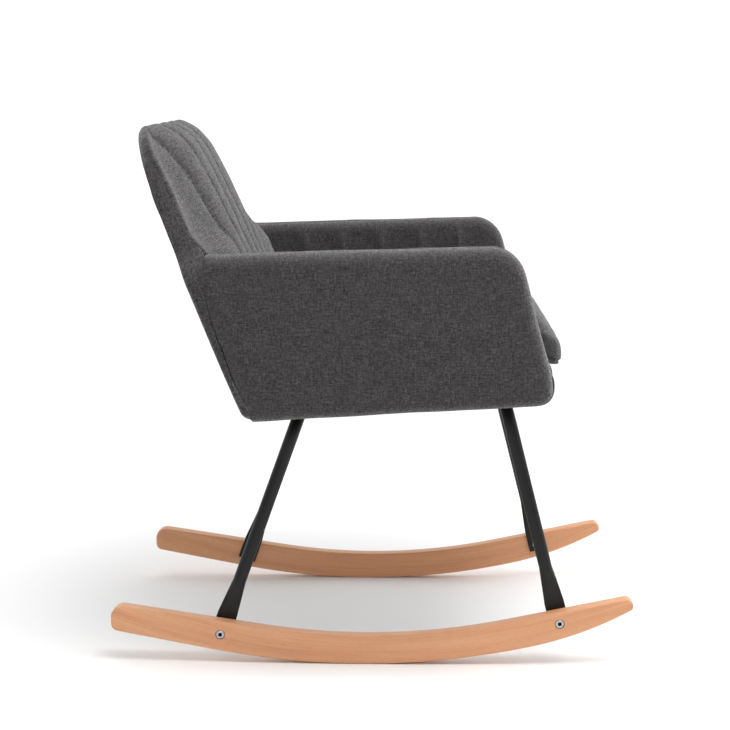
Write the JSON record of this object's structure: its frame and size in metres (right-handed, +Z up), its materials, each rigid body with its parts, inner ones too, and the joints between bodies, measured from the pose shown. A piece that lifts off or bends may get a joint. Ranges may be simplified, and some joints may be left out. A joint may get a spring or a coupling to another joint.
{
  "type": "rocking chair",
  "caption": "Upholstered bucket rocking chair with channel-stitched back and arms, loose seat cushion, black steel legs and curved wooden rockers.",
  "frame": {"origin": "centre of the chair's outline seen from above, on the floor", "axes": "+Z up, -Y the way the sitter faces, +X to the sitter's left"},
  "size_m": [0.62, 0.76, 0.781],
  "materials": {
    "linen_fabric": "matt melange weave",
    "beech": "satin lacquer",
    "plywood": "raw",
    "black_steel": "satin powder coat",
    "zinc_steel": "bright zinc",
    "webbing": "woven elastic",
    "dust_cloth": "thin non-woven"
  },
  "bodies": {
    "chair": {"arm_board_left": "plywood", "arm_board_right": "plywood", "arm_bolts": "zinc_steel", "arm_inner_pad_left": "linen_fabric", "arm_inner_pad_right": "linen_fabric", "arm_outer_pad_left": "linen_fabric", "arm_outer_pad_right": "linen_fabric", "back_bolts": "zinc_steel", "back_bottom_rail": "plywood", "back_front_pad": "linen_fabric", "back_rear_pad": "linen_fabric", "back_top_rail": "plywood", "back_upright_left": "plywood", "back_upright_right": "plywood", "back_web_1": "webbing", "back_web_2": "webbing", "back_web_3": "webbing", "dust_cover": "dust_cloth", "frame_bolts": "zinc_steel", "frame_washers": "zinc_steel", "front_leg_frame": "black_steel", "front_rail_pad": "linen_fabric", "mounting_plate_front_left": "black_steel", "mounting_plate_front_right": "black_steel", "mounting_plate_rear_left": "black_steel", "mounting_plate_rear_right": "black_steel", "rear_leg_frame": "black_steel", "rocker_bolts": "zinc_steel", "rocker_cap_nuts": "zinc_steel", "rocker_left": "beech", "rocker_right": "beech", "rocker_washers": "zinc_steel", "seat_panel": "plywood", "seat_rail_front": "plywood", "seat_rail_left": "plywood", "seat_rail_rear": "plywood", "seat_rail_right": "plywood", "seat_web_1": "webbing", "seat_web_2": "webbing", "seat_web_3": "webbing", "seat_web_4": "webbing", "seat_web_5": "webbing", "tee_nuts": "zinc_steel"},
    "cushion": {"seat_cushion": "linen_fabric"}
  },
  "joints": [
    {"name": "seat_cushion_lift", "type": "slide", "parent": "chair", "child": "cushion", "axis": [0, 0, 1], "range_m": [0, 0.25]}
  ]
}
